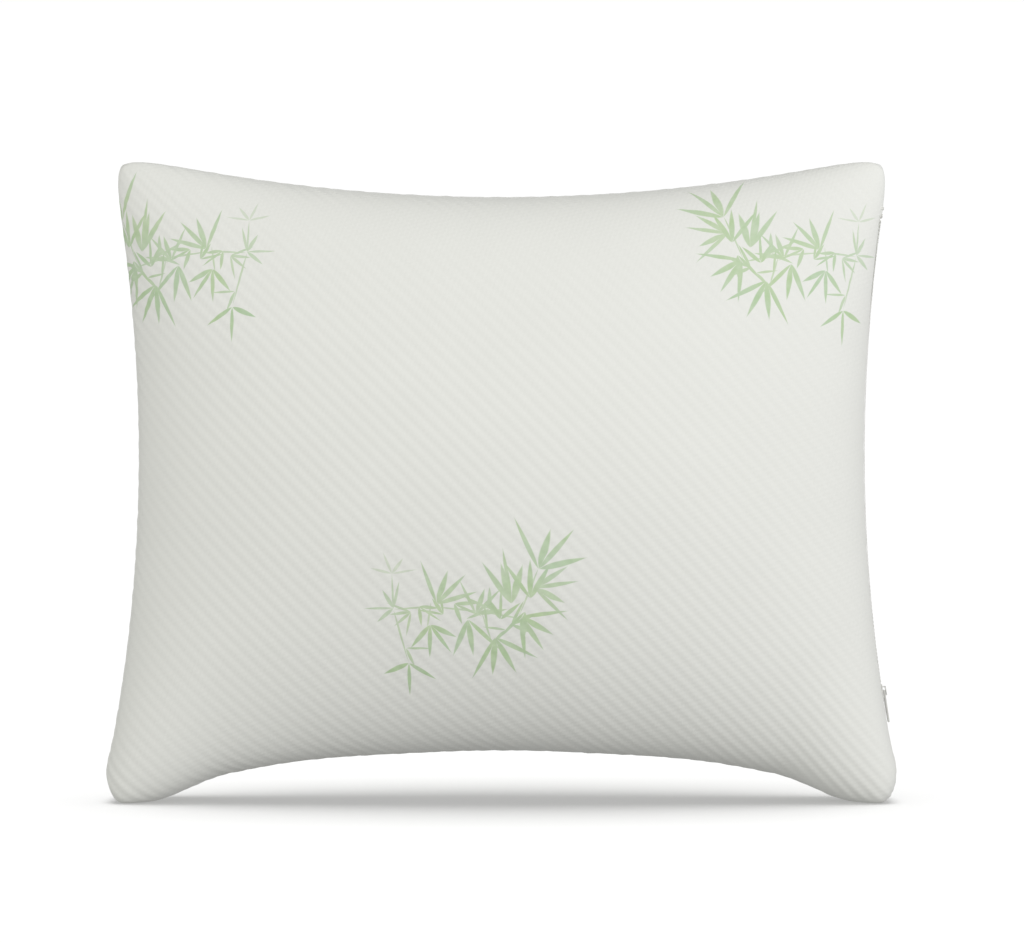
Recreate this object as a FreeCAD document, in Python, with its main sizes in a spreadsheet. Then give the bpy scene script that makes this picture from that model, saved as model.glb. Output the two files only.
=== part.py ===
import FreeCAD, Part
import Sketcher
import math
import os

# A bed pillow standing on its two lower corners: X across, Y from front to back, Z up, in millimetres.
# The origin is on the floor, under the middle. The front panel faces -Y and the zip is in the +X side.

doc = FreeCAD.newDocument("bed_pillow")

SIZES = {
    "bottom_width": 606,  # between the lower corners, before they are rounded
    "top_width": 592,
    "full_height": 498,
    "loft": 172,  # thickness through the middle
    "corner_radius": 18,
    "side_inset": 22,  # how far the middle of each edge is drawn in
    "top_inset": 30,
    "bottom_inset": 40,
    "foot_depth": 6,  # the lower corners are pressed flat this far up
    "corner_fill": 0.55,  # 0 leaves the lower corners as thin as the upper ones
    "cover_wall": 1.6,
    "liner_wall": 0.6,
    "layer_gap": 0.2,  # between the cover and what lies against its inside
    "slider_clearance": 0.7,  # from the slider's inner plate to the inner casing's seam
    "fill_gap": 0.2,
    "fill_edge_gap": 2.4,
    "fill_edge": 0.8,  # thickness of the filling at its very edge
    "seam_thread": 1.2,
    "seam_band": 2.6,  # width of the overlocked edges
    "zip_length": 380,
    "slot_width": 10.4,
    "tape_width": 13,
    "tape_wall": 0.7,
    "chain_gap": 0.8,  # from the middle of the zip to each coil
    "coil_width": 2.1,
    "coil_height": 1.3,
    "coil_gap": 0.15,  # between each coil and its tape
    "stop_length": 3.2,
    "slider_length": 11,
    "slider_width": 8.4,
    "slider_plate": 1.2,
    "slider_mouth": 4.6,  # between the slider's two plates
    "post_width": 0.9,
    "bridge_width": 2.4,
    "bridge_rise": 3.0,
    "bridge_wall": 0.9,
    "pull_length": 24,
    "pull_width": 6.4,
    "pull_plate": 1.1,
    "pull_window": 3.2,
    "pull_bar": 1.2,  # diameter of the bar that hangs in the bridge
    "stitch_width": 0.7,
    "stitch_height": 0.4,
    "tack_length": 1.8,
    "label_width": 32,
    "label_reach": 34,  # how far it lies round towards the back
    "label_wall": 0.3,
    "label_gap": 0.4,
    "label_height": 130,  # of the label's lower edge above the floor
}
TOUCH = 0.05  # between thread and the cloth that it lies on
GRID_ACROSS = 33
GRID_UP = 29
FRONT = -1
BACK = 1

sheet = doc.addObject("Spreadsheet::Sheet", "sizes")
for row, (alias, value) in enumerate(SIZES.items(), start=1):
    sheet.set(f"A{row}", str(value))
    sheet.setAlias(f"A{row}", alias)
doc.recompute()


def size(alias):
    return float(sheet.get(alias))


# ---------------------------------------------------------------------------------------------------
# The pillow's outline: four rounded corners joined by four arcs that curve inwards.


def edge_arc(first, second, radius, inset):
    """Centre and radius of the inward arc that touches two corner circles on their right-hand side."""
    run = second - first
    half = run.Length / 2
    outward = FreeCAD.Vector(run.z, 0, -run.x).normalize()
    arc_radius = (half**2 + inset**2) / (2 * inset) - radius
    centre = (first + second) / 2 + outward * (arc_radius + radius - inset)
    return centre, arc_radius


class Outline:
    """The outline in the XZ plane, drawn in by a margin on every side."""

    def __init__(self, margin):
        self.radius = size("corner_radius") - margin
        base = -size("foot_depth")
        low = base + size("corner_radius")
        high = base + size("full_height") - size("corner_radius")
        wide_low = size("bottom_width") / 2 - size("corner_radius")
        wide_high = size("top_width") / 2 - size("corner_radius")
        self.corner_low = FreeCAD.Vector(wide_low, 0, low)
        self.corner_high = FreeCAD.Vector(wide_high, 0, high)
        other_low = FreeCAD.Vector(-wide_low, 0, low)
        other_high = FreeCAD.Vector(-wide_high, 0, high)
        self.side = edge_arc(self.corner_low, self.corner_high, self.radius, size("side_inset"))
        self.top = edge_arc(self.corner_high, other_high, self.radius, size("top_inset"))
        self.bottom = edge_arc(other_low, self.corner_low, self.radius, size("bottom_inset"))
        self.tip_low = self.tip(self.bottom_at, wide_low)
        self.tip_high = self.tip(self.top_at, wide_high)
        self.soft_low = self.softening(self.corner_low, self.tip_low, self.bottom_at, -1)
        self.soft_high = self.softening(self.corner_high, self.tip_high, self.top_at, 1)

    def side_at(self, z):
        centre, radius = self.side
        return centre.x - math.sqrt(radius**2 - (z - centre.z) ** 2)

    def top_at(self, x):
        centre, radius = self.top
        return centre.z - math.sqrt(radius**2 - x**2)

    def bottom_at(self, x):
        centre, radius = self.bottom
        return centre.z + math.sqrt(radius**2 - x**2)

    def tip(self, edge_at, x):
        """Where the side's arc would cross the top or bottom arc if the corner were sharp."""
        for _ in range(40):
            x = self.side_at(edge_at(x))
        return FreeCAD.Vector(x, 0, edge_at(x))

    def softening(self, corner, tip, edge_at, sense):
        """How far the sharp tip is drawn back to the corner circle, and the power that spreads it."""
        reach = tip - corner
        back = reach - reach.normalize() * self.radius
        step = 0.01
        lean = (self.side_at(tip.z + step) - self.side_at(tip.z - step)) / (2 * step) * sense
        rise = (edge_at(tip.x + step) - edge_at(tip.x - step)) / (2 * step) * sense
        half = (self.tip_high.z - self.tip_low.z) / 2
        back_x = abs(back.x)
        back_z = abs(back.z)
        spread = half * tip.x * (1 - lean * rise)
        spread = spread / (back_x * (half - rise * tip.x) + back_z * (tip.x - lean * half))
        return back_x, back_z, spread

    def place(self, across, up):
        """The point of the outline's area at -1 to 1 across and -1 to 1 up."""
        low_share = (1 - up) / 2
        high_share = (1 + up) / 2
        side_z = self.tip_low.z * low_share + self.tip_high.z * high_share
        x = across * self.side_at(side_z)
        z = self.bottom_at(across * self.tip_low.x) * low_share
        z = z + self.top_at(across * self.tip_high.x) * high_share
        back_x, back_z, spread = self.soft_high if up > 0 else self.soft_low
        corner = abs(across * up) ** spread
        x = x - math.copysign(back_x, across) * corner
        z = z - math.copysign(back_z, up) * corner
        return x, z


def net_surface(rows):
    """A smooth cubic surface drawn by a net of points, whose border follows the net's border."""
    degree = 3
    spans = [len(rows) - degree, len(rows[0]) - degree]
    knots = [[float(k) for k in range(count + 1)] for count in spans]
    repeats = [[degree + 1] + [1] * (count - 1) + [degree + 1] for count in spans]
    surface = Part.BSplineSurface()
    surface.buildFromPolesMultsKnots(rows, *repeats, *knots, False, False, degree, degree)
    return surface


def steps(count):
    """Places from -1 to 1, closer together towards both ends."""
    return [math.sin(math.pi * (k / (count - 1) - 0.5)) for k in range(count)]


def rim_face(outline):
    """The flat face inside the outline, with the same four border curves as the crowned surface."""
    low_and_high = [[outline.place(across, up) for across in steps(GRID_ACROSS)] for up in (-1, 1)]
    left_and_right = [[outline.place(across, up) for up in steps(GRID_UP)] for across in (-1, 1)]
    edges = []
    for border in low_and_high + left_and_right:
        poles = [FreeCAD.Vector(x, 0, z) for x, z in border]
        count = len(poles) - 3
        curve = Part.BSplineCurve()
        curve.buildFromPolesMultsKnots(
            poles, [4] + [1] * (count - 1) + [4], [float(k) for k in range(count + 1)], False, 3
        )
        edges.append(curve.toShape())
    return Part.Face(Part.Wire(Part.__sortEdges__(edges)))


def above(floor):
    """A box that holds everything above a height."""
    reach = 2 * size("bottom_width")
    return Part.makeBox(reach, reach, reach, FreeCAD.Vector(-reach / 2, -reach / 2, floor))


def crowned_face(facing, outline, half_loft):
    """The bulging front or back face inside the outline."""
    rows = []
    for across in steps(GRID_ACROSS):
        row = []
        for up in steps(GRID_UP):
            x, z = outline.place(across, up)
            lower_corner = abs(across) ** 3 * ((1 - up) / 2) ** 3
            fullness = 0.5 - 0.5 * size("corner_fill") * lower_corner
            bulge = max(0, (1 - across**2) * (1 - up**2)) ** fullness
            row.append(FreeCAD.Vector(x, facing * half_loft * bulge, z))
        rows.append(row)
    return net_surface(rows).toShape()


def closed_solid(faces, floor):
    """The solid inside two faces that share their border, flat below at the floor."""
    shell = Part.makeShell(faces)
    shell.sewShape()
    solid = Part.makeSolid(Part.Shell(shell.Faces))
    if solid.Volume < 0:
        solid.reverse()
    return solid.common(above(floor))


def half_pillow(facing, margin, crown_margin, floor):
    """Solid front or back half of the pillow, drawn in by the margins."""
    outline = Outline(margin)
    half_loft = size("loft") / 2 - crown_margin
    return closed_solid([crowned_face(facing, outline, half_loft), rim_face(outline)], floor)


def whole_pillow(margin, crown_margin, floor):
    """Solid front and back in one piece, drawn in by the margins, with a sharp edge."""
    outline = Outline(margin)
    half_loft = size("loft") / 2 - crown_margin
    return closed_solid([crowned_face(facing, outline, half_loft) for facing in (FRONT, BACK)], floor)


def rounded_filling(margin, crown_margin, floor):
    """Solid front and back in one piece, drawn in by the margins, with a narrow edge between them."""
    outline = Outline(margin)
    half_edge = size("fill_edge") / 2
    half_loft = size("loft") / 2 - crown_margin - half_edge
    faces = []
    for facing in (FRONT, BACK):
        face = crowned_face(facing, outline, half_loft)
        face.translate(FreeCAD.Vector(0, facing * half_edge, 0))
        faces.append(face)
    border = rim_face(outline).OuterWire
    border.translate(FreeCAD.Vector(0, -half_edge, 0))
    faces = faces + border.extrude(FreeCAD.Vector(0, 2 * half_edge, 0)).Faces
    return closed_solid(faces, floor)


def layer(facing, outside, inside, reach=None):
    """Cloth of one half, all of it or what lies in reach. A face is (edge margin, crown margin, floor)."""
    outer = half_pillow(facing, *outside)
    inner = half_pillow(facing, *inside)
    if reach is not None:
        outer = outer.common(reach)
        inner = inner.common(reach)
    return outer.cut(inner)


def band(low_y, high_y, low_z, high_z, to_the_right=True):
    """A box that covers one side of the pillow between two depths and two heights."""
    width = size("bottom_width") / 2
    corner = FreeCAD.Vector(width / 2 if to_the_right else -width * 1.5, min(low_y, high_y), low_z)
    return Part.makeBox(width, abs(high_y - low_y), high_z - low_z, corner)


def keep(name, shape, placement=None):
    """Put a finished shape in the document under its own name."""
    piece = doc.addObject("Part::Feature", name)
    piece.Label = name
    piece.Shape = shape
    piece.Placement = placement or FreeCAD.Placement()
    sub_parts.append(piece)
    return piece


sub_parts = []
whole = Outline(0)
arc_centre, arc_radius = whole.side
tape_depth = size("cover_wall") + size("layer_gap")  # from the cover's outer face
liner_crown_gap = tape_depth
liner_edge_gap = size("slider_mouth") + size("slider_plate") + size("slider_clearance") + size("seam_band") / 2
zip_angle = math.degrees(size("zip_length") / arc_radius)
zip_low = arc_centre.z - arc_radius * math.sin(math.radians(zip_angle / 2))
zip_high = arc_centre.z + arc_radius * math.sin(math.radians(zip_angle / 2))
slot_half = size("slot_width") / 2
tape_low = zip_low - size("stop_length")
tape_high = zip_high + size("stop_length")


# Inside the slot, the coils leave room at both ends for a stop; the slider starts at the lower end.
coil_length = size("zip_length") - 4 * size("stop_length")
stop_turn = zip_angle * (coil_length / 2 + size("stop_length")) / size("zip_length")
slider_start = (size("slider_length") - coil_length) / 2
travel = coil_length - size("slider_length")

PLACES = {
    "arc_radius": arc_radius,
    "coil_depth": tape_depth - size("coil_gap") - size("coil_height"),
    "coil_angle": zip_angle * coil_length / size("zip_length"),
    "stop_angle": zip_angle * size("stop_length") / size("zip_length"),
}
places = doc.addObject("Spreadsheet::Sheet", "places")
for row, (alias, value) in enumerate(PLACES.items(), start=1):
    places.set(f"A{row}", str(value))
    places.setAlias(f"A{row}", alias)
doc.recompute()

# ---------------------------------------------------------------------------------------------------
# Cover: two knitted panels, sewn together round the edge, with a slot on the right for the zip.

outer_face = (0, 0, 0)
cover_inner_face = (size("cover_wall"), size("cover_wall"), size("cover_wall"))
slot = band(-slot_half, slot_half, zip_low, zip_high)
keep("cover_front_panel", layer(FRONT, outer_face, cover_inner_face).cut(slot))
keep("cover_back_panel", layer(BACK, outer_face, cover_inner_face).cut(slot))


def flat_ring(outer_margin, inner_margin):
    """A flat band in the middle plane, between two margins of the outline and as thick as the seam."""
    thickness = size("seam_thread")
    plates = []
    for margin in (outer_margin, inner_margin):
        plate = rim_face(Outline(margin)).extrude(FreeCAD.Vector(0, thickness, 0))
        plate.translate(FreeCAD.Vector(0, -thickness / 2, 0))
        plates.append(plate.common(above(margin)))
    return plates[0].cut(plates[1])


# The turned-in edges of both panels are overlocked into one flat band just inside the cover's edge,
# from one end of the zip round to the other.
cover_seam_out = size("cover_wall") + 6 * TOUCH
zip_room = band(-size("cover_wall"), size("cover_wall"), tape_low - 2 * TOUCH, tape_high + 2 * TOUCH)
cover_seam = flat_ring(cover_seam_out, cover_seam_out + size("seam_band")).cut(zip_room)
keep("cover_seam_thread", cover_seam)

# ---------------------------------------------------------------------------------------------------
# Inner casing and filling.

liner_outer_face = (liner_edge_gap, liner_crown_gap, liner_edge_gap)
liner_inner_face = tuple(gap + size("liner_wall") for gap in liner_outer_face)
keep("liner_front_panel", layer(FRONT, liner_outer_face, liner_inner_face))
keep("liner_back_panel", layer(BACK, liner_outer_face, liner_inner_face))

liner_seam_out = liner_edge_gap - size("seam_band") / 2
keep("liner_seam_thread", flat_ring(liner_seam_out, liner_edge_gap - 2 * TOUCH))

# The filling stops short of the casing's seam and fills it up everywhere else.
fill_edge_gap = liner_inner_face[0] + size("fill_edge_gap")
fill_crown_gap = liner_inner_face[1] + size("fill_gap")
fill_floor = liner_inner_face[2] + size("fill_gap")
keep("foam_fill", rounded_filling(fill_edge_gap, fill_crown_gap, fill_floor))

# ---------------------------------------------------------------------------------------------------
# Zip: two tapes under the cover's edges, a coil on each, stops at both ends and a slider.

tape_face = (tape_depth, tape_depth, tape_depth)
tape_back_face = tuple(gap + size("tape_wall") for gap in tape_face)
for name, facing in (("front", FRONT), ("back", BACK)):
    reach = band(facing * size("chain_gap"), facing * size("tape_width"), tape_low, tape_high)
    keep(f"zipper_tape_{name}", layer(facing, tape_face, tape_back_face, reach))

# Rows of stitches through the cover and the tapes, and a dense bar of stitches across each end.
stitch_face = tuple([-TOUCH - size("stitch_height")] * 2 + [0])
stitch_back_face = (-TOUCH, -TOUCH, 0)
stitch_start = slot_half + 2 * size("stitch_width")
for name, facing in (("front", FRONT), ("back", BACK)):
    reach = band(facing * stitch_start, facing * (stitch_start + size("stitch_width")), zip_low, zip_high)
    keep(f"zipper_stitching_{name}", layer(facing, stitch_face, stitch_back_face, reach))

tack_half = stitch_start + size("stitch_width")
tacks = []
for low in (zip_low - 2 * size("tack_length"), zip_high + size("tack_length")):
    reach = band(-tack_half, tack_half, low, low + size("tack_length"))
    outer = whole_pillow(*stitch_face).common(reach)
    inner = whole_pillow(*stitch_back_face).common(reach)
    tacks.append(outer.cut(inner).Solids[0])
keep("zipper_bar_tacks", Part.makeCompound(tacks))


def arc_frame(facing):
    """Frame at the centre of the side's arc: its own X points at the pillow, its own Y faces outwards."""
    axis = FreeCAD.Vector(0, 1, 0) if facing == BACK else FreeCAD.Vector(0, 0, 1)
    return FreeCAD.Placement(arc_centre, FreeCAD.Rotation(axis, 180))


def swept_strip(name, facing, angle, turn=0):
    """A strip of the coil's section that follows the side's arc, turned up from the zip's middle."""
    body = doc.addObject("PartDesign::Body", name)
    body.Label = name
    plane = [f for f in body.Origin.OriginFeatures if f.Role == "XY_Plane"][0]
    sketch = body.newObject("Sketcher::SketchObject", f"{name}_section")
    sketch.AttachmentSupport = [(plane, "")]
    sketch.MapMode = "FlatFace"
    left, low, right, high = arc_radius, 1, arc_radius + 1, 2
    corners = [(left, low), (right, low), (right, high), (left, high)]
    for k in range(4):
        a = FreeCAD.Vector(*corners[k], 0)
        b = FreeCAD.Vector(*corners[(k + 1) % 4], 0)
        sketch.addGeometry(Part.LineSegment(a, b), False)
    for k in range(4):
        sketch.addConstraint(Sketcher.Constraint("Coincident", k, 2, (k + 1) % 4, 1))
        sketch.addConstraint(Sketcher.Constraint("Horizontal" if k % 2 == 0 else "Vertical", k))
    origin = -1
    bound = {
        "start_x": (Sketcher.Constraint("DistanceX", origin, 1, 0, 1, left), "places.arc_radius + places.coil_depth"),
        "start_y": (Sketcher.Constraint("DistanceY", origin, 1, 0, 1, low), "sizes.chain_gap"),
        "size_x": (Sketcher.Constraint("DistanceX", 0, 1, 0, 2, 1), "sizes.coil_height"),
        "size_y": (Sketcher.Constraint("DistanceY", 1, 1, 1, 2, 1), "sizes.coil_width"),
    }
    for label, (constraint, expression) in bound.items():
        index = sketch.addConstraint(constraint)
        sketch.renameConstraint(index, label)
        sketch.setExpression(f"Constraints.{label}", expression)
    doc.recompute()
    sweep = body.newObject("PartDesign::Revolution", f"{name}_sweep")
    sweep.Profile = sketch
    sweep.ReferenceAxis = (sketch, ["V_Axis"])
    sweep.Midplane = True
    sweep.setExpression("Angle", angle)
    body.Tip = sweep
    frame = arc_frame(facing)
    sense = 1 if facing == BACK else -1
    body.Placement = frame * FreeCAD.Placement(
        FreeCAD.Vector(), FreeCAD.Rotation(FreeCAD.Vector(0, 1, 0), sense * turn)
    )
    doc.recompute()
    sub_parts.append(body)
    return body


for name, facing in (("front", FRONT), ("back", BACK)):
    swept_strip(f"zipper_coil_{name}", facing, "places.coil_angle")
    swept_strip(f"zipper_top_stop_{name}", facing, "places.stop_angle", -stop_turn)


def zip_frame(turn):
    """Frame on the side's arc, turned up from the zip's middle: its own X points out of the pillow."""
    lift = math.radians(turn)
    out = FreeCAD.Vector(math.cos(lift), 0, -math.sin(lift))
    return FreeCAD.Placement(arc_centre - out * arc_radius, FreeCAD.Rotation(FreeCAD.Vector(0, 1, 0), turn))


def block(name, low, extent):
    """A box in the zip's frame: depth out of the pillow, across and along the zip."""
    box = doc.addObject("Part::Box", name)
    for side, text in zip(("Length", "Width", "Height"), extent):
        box.setExpression(side, text)
    for axis, text in zip("xyz", low):
        box.setExpression(f".Placement.Base.{axis}", text)
    return box


def assemble(kind, name, pieces, placement):
    """Join or cut the listed pieces and set the result in its place as a sub-part."""
    result = doc.addObject(kind, name)
    if kind == "Part::Cut":
        result.Base, result.Tool = pieces
    else:
        result.Shapes = pieces
    result.Label = name
    result.Placement = placement
    return result


# The stop at the opening end is one piece across both tapes.
bottom_stop = block(
    "zipper_bottom_stop",
    ("0", "0", "0"),
    ("sizes.coil_height", "2 * (sizes.chain_gap + sizes.coil_width)", "sizes.stop_length"),
)
doc.recompute()
stop_low = FreeCAD.Vector(
    -PLACES["coil_depth"] - size("coil_height"),
    -size("chain_gap") - size("coil_width"),
    -size("stop_length") / 2,
)
for axis in "xyz":
    bottom_stop.setExpression(f".Placement.Base.{axis}", None)
bottom_stop.Placement = zip_frame(stop_turn) * FreeCAD.Placement(stop_low, FreeCAD.Rotation())
sub_parts.append(bottom_stop)

# Slider: an outer and an inner plate with a post between them at the lower end, where the coils part, side
# flanges that hold the coils together, and a bridge on the outer plate that carries the pull.
half_slider = "-sizes.slider_width / 2"
half_run = "sizes.slider_length / 2"
mouth = "sizes.slider_mouth"
plate = "sizes.slider_plate"
flange = "(sizes.slider_width / 2 - sizes.chain_gap - sizes.coil_width - 0.4)"
leg = "(1.2 * sizes.bridge_rise)"
slider_pieces = [
    block("outer_plate", ("0", half_slider, f"-{half_run}"), (plate, "sizes.slider_width", "sizes.slider_length")),
    block(
        "inner_plate",
        (f"-{mouth} - {plate}", half_slider, f"-{half_run}"),
        (plate, "sizes.slider_width", "sizes.slider_length"),
    ),
    block(
        "post",
        (f"-{mouth} - {plate} / 2", "-sizes.post_width / 2", f"-{half_run}"),
        (f"{mouth} + {plate}", "sizes.post_width", "sizes.slider_length / 4"),
    ),
    block(
        "front_flange",
        ("-(places.coil_depth + sizes.coil_height * 0.8)", half_slider, f"-{half_run}"),
        ("places.coil_depth + sizes.coil_height", flange, "sizes.slider_length"),
    ),
    block(
        "back_flange",
        ("-(places.coil_depth + sizes.coil_height * 0.8)", f"sizes.slider_width / 2 - {flange}", f"-{half_run}"),
        ("places.coil_depth + sizes.coil_height", flange, "sizes.slider_length"),
    ),
    block(
        "bridge_low_leg",
        (f"{plate} / 2", "-sizes.bridge_width / 2", f"-{leg}"),
        (f"{plate} / 2 + sizes.bridge_rise", "sizes.bridge_width", "sizes.bridge_wall"),
    ),
    block(
        "bridge_high_leg",
        (f"{plate} / 2", "-sizes.bridge_width / 2", f"{leg} - sizes.bridge_wall"),
        (f"{plate} / 2 + sizes.bridge_rise", "sizes.bridge_width", "sizes.bridge_wall"),
    ),
    block(
        "bridge_roof",
        (f"{plate} + sizes.bridge_rise - sizes.bridge_wall", "-sizes.bridge_width / 2", f"-{leg}"),
        ("sizes.bridge_wall", "sizes.bridge_width", f"2 * {leg}"),
    ),
]
slider_turn = zip_angle * slider_start / size("zip_length")
slider_frame = zip_frame(slider_turn)
slider = assemble("Part::MultiFuse", "zipper_slider_body", slider_pieces, slider_frame)
sub_parts.append(slider)

# Pull: a flat tab with an open window at its upper end, across which a round bar hangs in the bridge.
bar_out = f"({plate} + (sizes.bridge_rise - sizes.bridge_wall) / 2)"
tab = block(
    "tab",
    (f"{bar_out} - sizes.pull_plate / 2", "-sizes.pull_width / 2", "-sizes.pull_length"),
    ("sizes.pull_plate", "sizes.pull_width", "sizes.pull_length + sizes.pull_bar / 3"),
)
window = block(
    "window",
    (f"{bar_out} - sizes.pull_plate", "-sizes.pull_window / 2", "-1.6 * sizes.bridge_rise"),
    ("2 * sizes.pull_plate", "sizes.pull_window", "2 * sizes.bridge_rise"),
)
bar = doc.addObject("Part::Cylinder", "bar")
bar.setExpression("Radius", "sizes.pull_bar / 2")
bar.setExpression("Height", "sizes.pull_width")
doc.recompute()
bar_middle = size("slider_plate") + (size("bridge_rise") - size("bridge_wall")) / 2
bar.Placement = FreeCAD.Placement(
    FreeCAD.Vector(bar_middle, size("pull_width") / 2, 0),
    FreeCAD.Rotation(FreeCAD.Vector(1, 0, 0), 90),
)
windowed_tab = assemble("Part::Cut", "windowed_tab", (tab, window), FreeCAD.Placement())
pull = assemble("Part::MultiFuse", "zipper_pull_tab", [windowed_tab, bar], slider_frame)
sub_parts.append(pull)

# ---------------------------------------------------------------------------------------------------
# Care label: a blank woven ribbon caught in the left seam, folded flat against the back panel.

label_face = (-size("label_gap") - size("label_wall"), -size("label_gap") - size("label_wall"), 0)
label_back_face = (-size("label_gap"), -size("label_gap"), 0)
reach = band(
    size("seam_thread") / 2,
    size("label_reach"),
    size("label_height"),
    size("label_height") + size("label_width"),
    to_the_right=False,
)
keep("care_label", layer(BACK, label_face, label_back_face, reach))

# ---------------------------------------------------------------------------------------------------
doc.recompute()
for item in doc.Objects:
    if "Invalid" in item.State or "Error" in item.State:
        raise RuntimeError(f"{item.Label} did not build: {item.State}")

os.makedirs("parts", exist_ok=True)
for piece in sub_parts:
    shape = piece.Shape
    if shape.isNull() or not shape.isValid() or shape.Volume <= 0:
        raise RuntimeError(f"{piece.Label} has no sound solid")
    print(f"{piece.Label}: {len(shape.Solids)} solid(s), {shape.Volume:.1f} cubic mm")
    shape.exportStep(f"parts/{piece.Label}.step")

bar_place = slider_frame.multVec(FreeCAD.Vector(bar_middle, 0, 0))
label_middle = size("label_height") + size("label_width") / 2
print("slide axis", arc_centre, "travel in degrees", zip_angle * travel / size("zip_length"))
print("pull bar", bar_place)
print("label edge", -whole.side_at(label_middle), label_middle)
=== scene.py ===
import math
import bmesh
import bpy
import mathutils
import numpy as np
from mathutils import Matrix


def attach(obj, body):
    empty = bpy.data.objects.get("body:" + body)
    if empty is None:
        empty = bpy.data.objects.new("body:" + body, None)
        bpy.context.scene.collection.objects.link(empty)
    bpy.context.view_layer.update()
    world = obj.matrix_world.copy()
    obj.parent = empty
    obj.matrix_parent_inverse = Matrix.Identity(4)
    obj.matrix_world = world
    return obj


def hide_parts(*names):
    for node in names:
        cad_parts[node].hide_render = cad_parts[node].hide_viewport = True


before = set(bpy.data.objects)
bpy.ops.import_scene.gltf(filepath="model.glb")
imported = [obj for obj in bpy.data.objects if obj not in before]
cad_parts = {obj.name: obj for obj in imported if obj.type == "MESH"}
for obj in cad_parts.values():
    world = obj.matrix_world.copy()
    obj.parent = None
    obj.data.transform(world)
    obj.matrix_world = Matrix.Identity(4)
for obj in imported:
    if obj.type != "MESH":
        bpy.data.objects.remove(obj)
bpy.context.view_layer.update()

# ---- Filling ----
# Foam pieces and fibre, stood for by one soft block that is crowned in the middle and thins to a narrow
# edge. It lies loose in the inner casing and is pressed flat at the two lower corners that it stands on.

MM = 0.001  # every size below is in millimetres unless a comment says otherwise
FRONT, BACK = -1, 1
BOTTOM_WIDTH, TOP_WIDTH, FULL_HEIGHT, LOFT = 606, 592, 498, 172
CORNER_RADIUS, FOOT_DEPTH, CORNER_FILL = 18, 6, 0.55
SIDE_INSET, TOP_INSET, BOTTOM_INSET = 22, 30, 40
FLOOR_ROUNDING, FLOOR_REACH = 1.2, 40  # how softly, and up to what height, the floor presses the cloth
EDGE_LIFTS = (4.6, 8.6)  # of the lower edge, in the middle and near the corners
LIFT_GROWS, LIFT_ENDS = (50, 180), (208, 268)  # across, from the middle
LIFT_FADES, TIP_FADES = (45, 210), (2, 64)  # upwards, from the floor
TIP_FROM, TIP_RUN, TIP_LIFT, TIP_POWER = 281, 18, 11.0, 2.4  # the rounding of the lower corners
SEARCH_ROUNDS, FINE_STEPS = 40, 4001
FILLING_MARGINS = (10.8, 2.6, 8.6)  # from the cover's edge, from its crown and from the floor
FILLING_EDGE, FILLING_SPACING = 0.8, 6.0


def edge_arc(first, second, radius, inset):
    """Centre and radius of the arc, curved inwards by the inset, that touches two corner circles."""
    run = second - first
    half = np.linalg.norm(run) / 2
    outward = np.array([run[1], -run[0]]) / (2 * half)
    arc_radius = (half**2 + inset**2) / (2 * inset) - radius
    return (first + second) / 2 + outward * (arc_radius + radius - inset), arc_radius


def outline(margin):
    """The pillow's outline drawn in by a margin: its three kinds of edge, its tips and their softening.

    Four arcs that curve inwards join four corner circles. The tips are where the arcs would meet if the
    corners were sharp. Each is drawn back to its circle along a power curve that keeps the arcs' slopes."""
    radius = CORNER_RADIUS - margin
    low = np.array([BOTTOM_WIDTH / 2 - CORNER_RADIUS, CORNER_RADIUS - FOOT_DEPTH])
    high = np.array([TOP_WIDTH / 2 - CORNER_RADIUS, FULL_HEIGHT - CORNER_RADIUS - FOOT_DEPTH])
    mirrored = np.array([-1, 1])
    side, side_radius = edge_arc(low, high, radius, SIDE_INSET)
    top, top_radius = edge_arc(high, high * mirrored, radius, TOP_INSET)
    bottom, bottom_radius = edge_arc(low * mirrored, low, radius, BOTTOM_INSET)

    def side_at(z):
        return side[0] - np.sqrt(side_radius**2 - (z - side[1]) ** 2)

    def top_at(x):
        return top[1] - np.sqrt(top_radius**2 - x**2)

    def bottom_at(x):
        return bottom[1] + np.sqrt(bottom_radius**2 - x**2)

    def tip(edge_at, x):
        for _ in range(SEARCH_ROUNDS):
            x = side_at(edge_at(x))
        return np.array([x, edge_at(x)])

    tip_low, tip_high = tip(bottom_at, low[0]), tip(top_at, high[0])
    half = (tip_high[1] - tip_low[1]) / 2

    def softening(corner, point, edge_at, sense):
        reach = point - corner
        back_x, back_z = np.abs(reach - reach / np.linalg.norm(reach) * radius)
        step = 0.01
        lean = (side_at(point[1] + step) - side_at(point[1] - step)) / (2 * step) * sense
        rise = (edge_at(point[0] + step) - edge_at(point[0] - step)) / (2 * step) * sense
        spread = half * point[0] * (1 - lean * rise)
        spread /= back_x * (half - rise * point[0]) + back_z * (point[0] - lean * half)
        return back_x, back_z, spread

    soft_low = softening(low, tip_low, bottom_at, -1)
    soft_high = softening(high, tip_high, top_at, 1)
    return side_at, top_at, bottom_at, tip_low, tip_high, soft_low, soft_high


def smooth_step(low, high, value):
    """0 below low, 1 above high and an S-shaped curve between them."""
    share = np.clip((value - low) / (high - low), 0, 1)
    return share * share * (3 - 2 * share)


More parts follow.
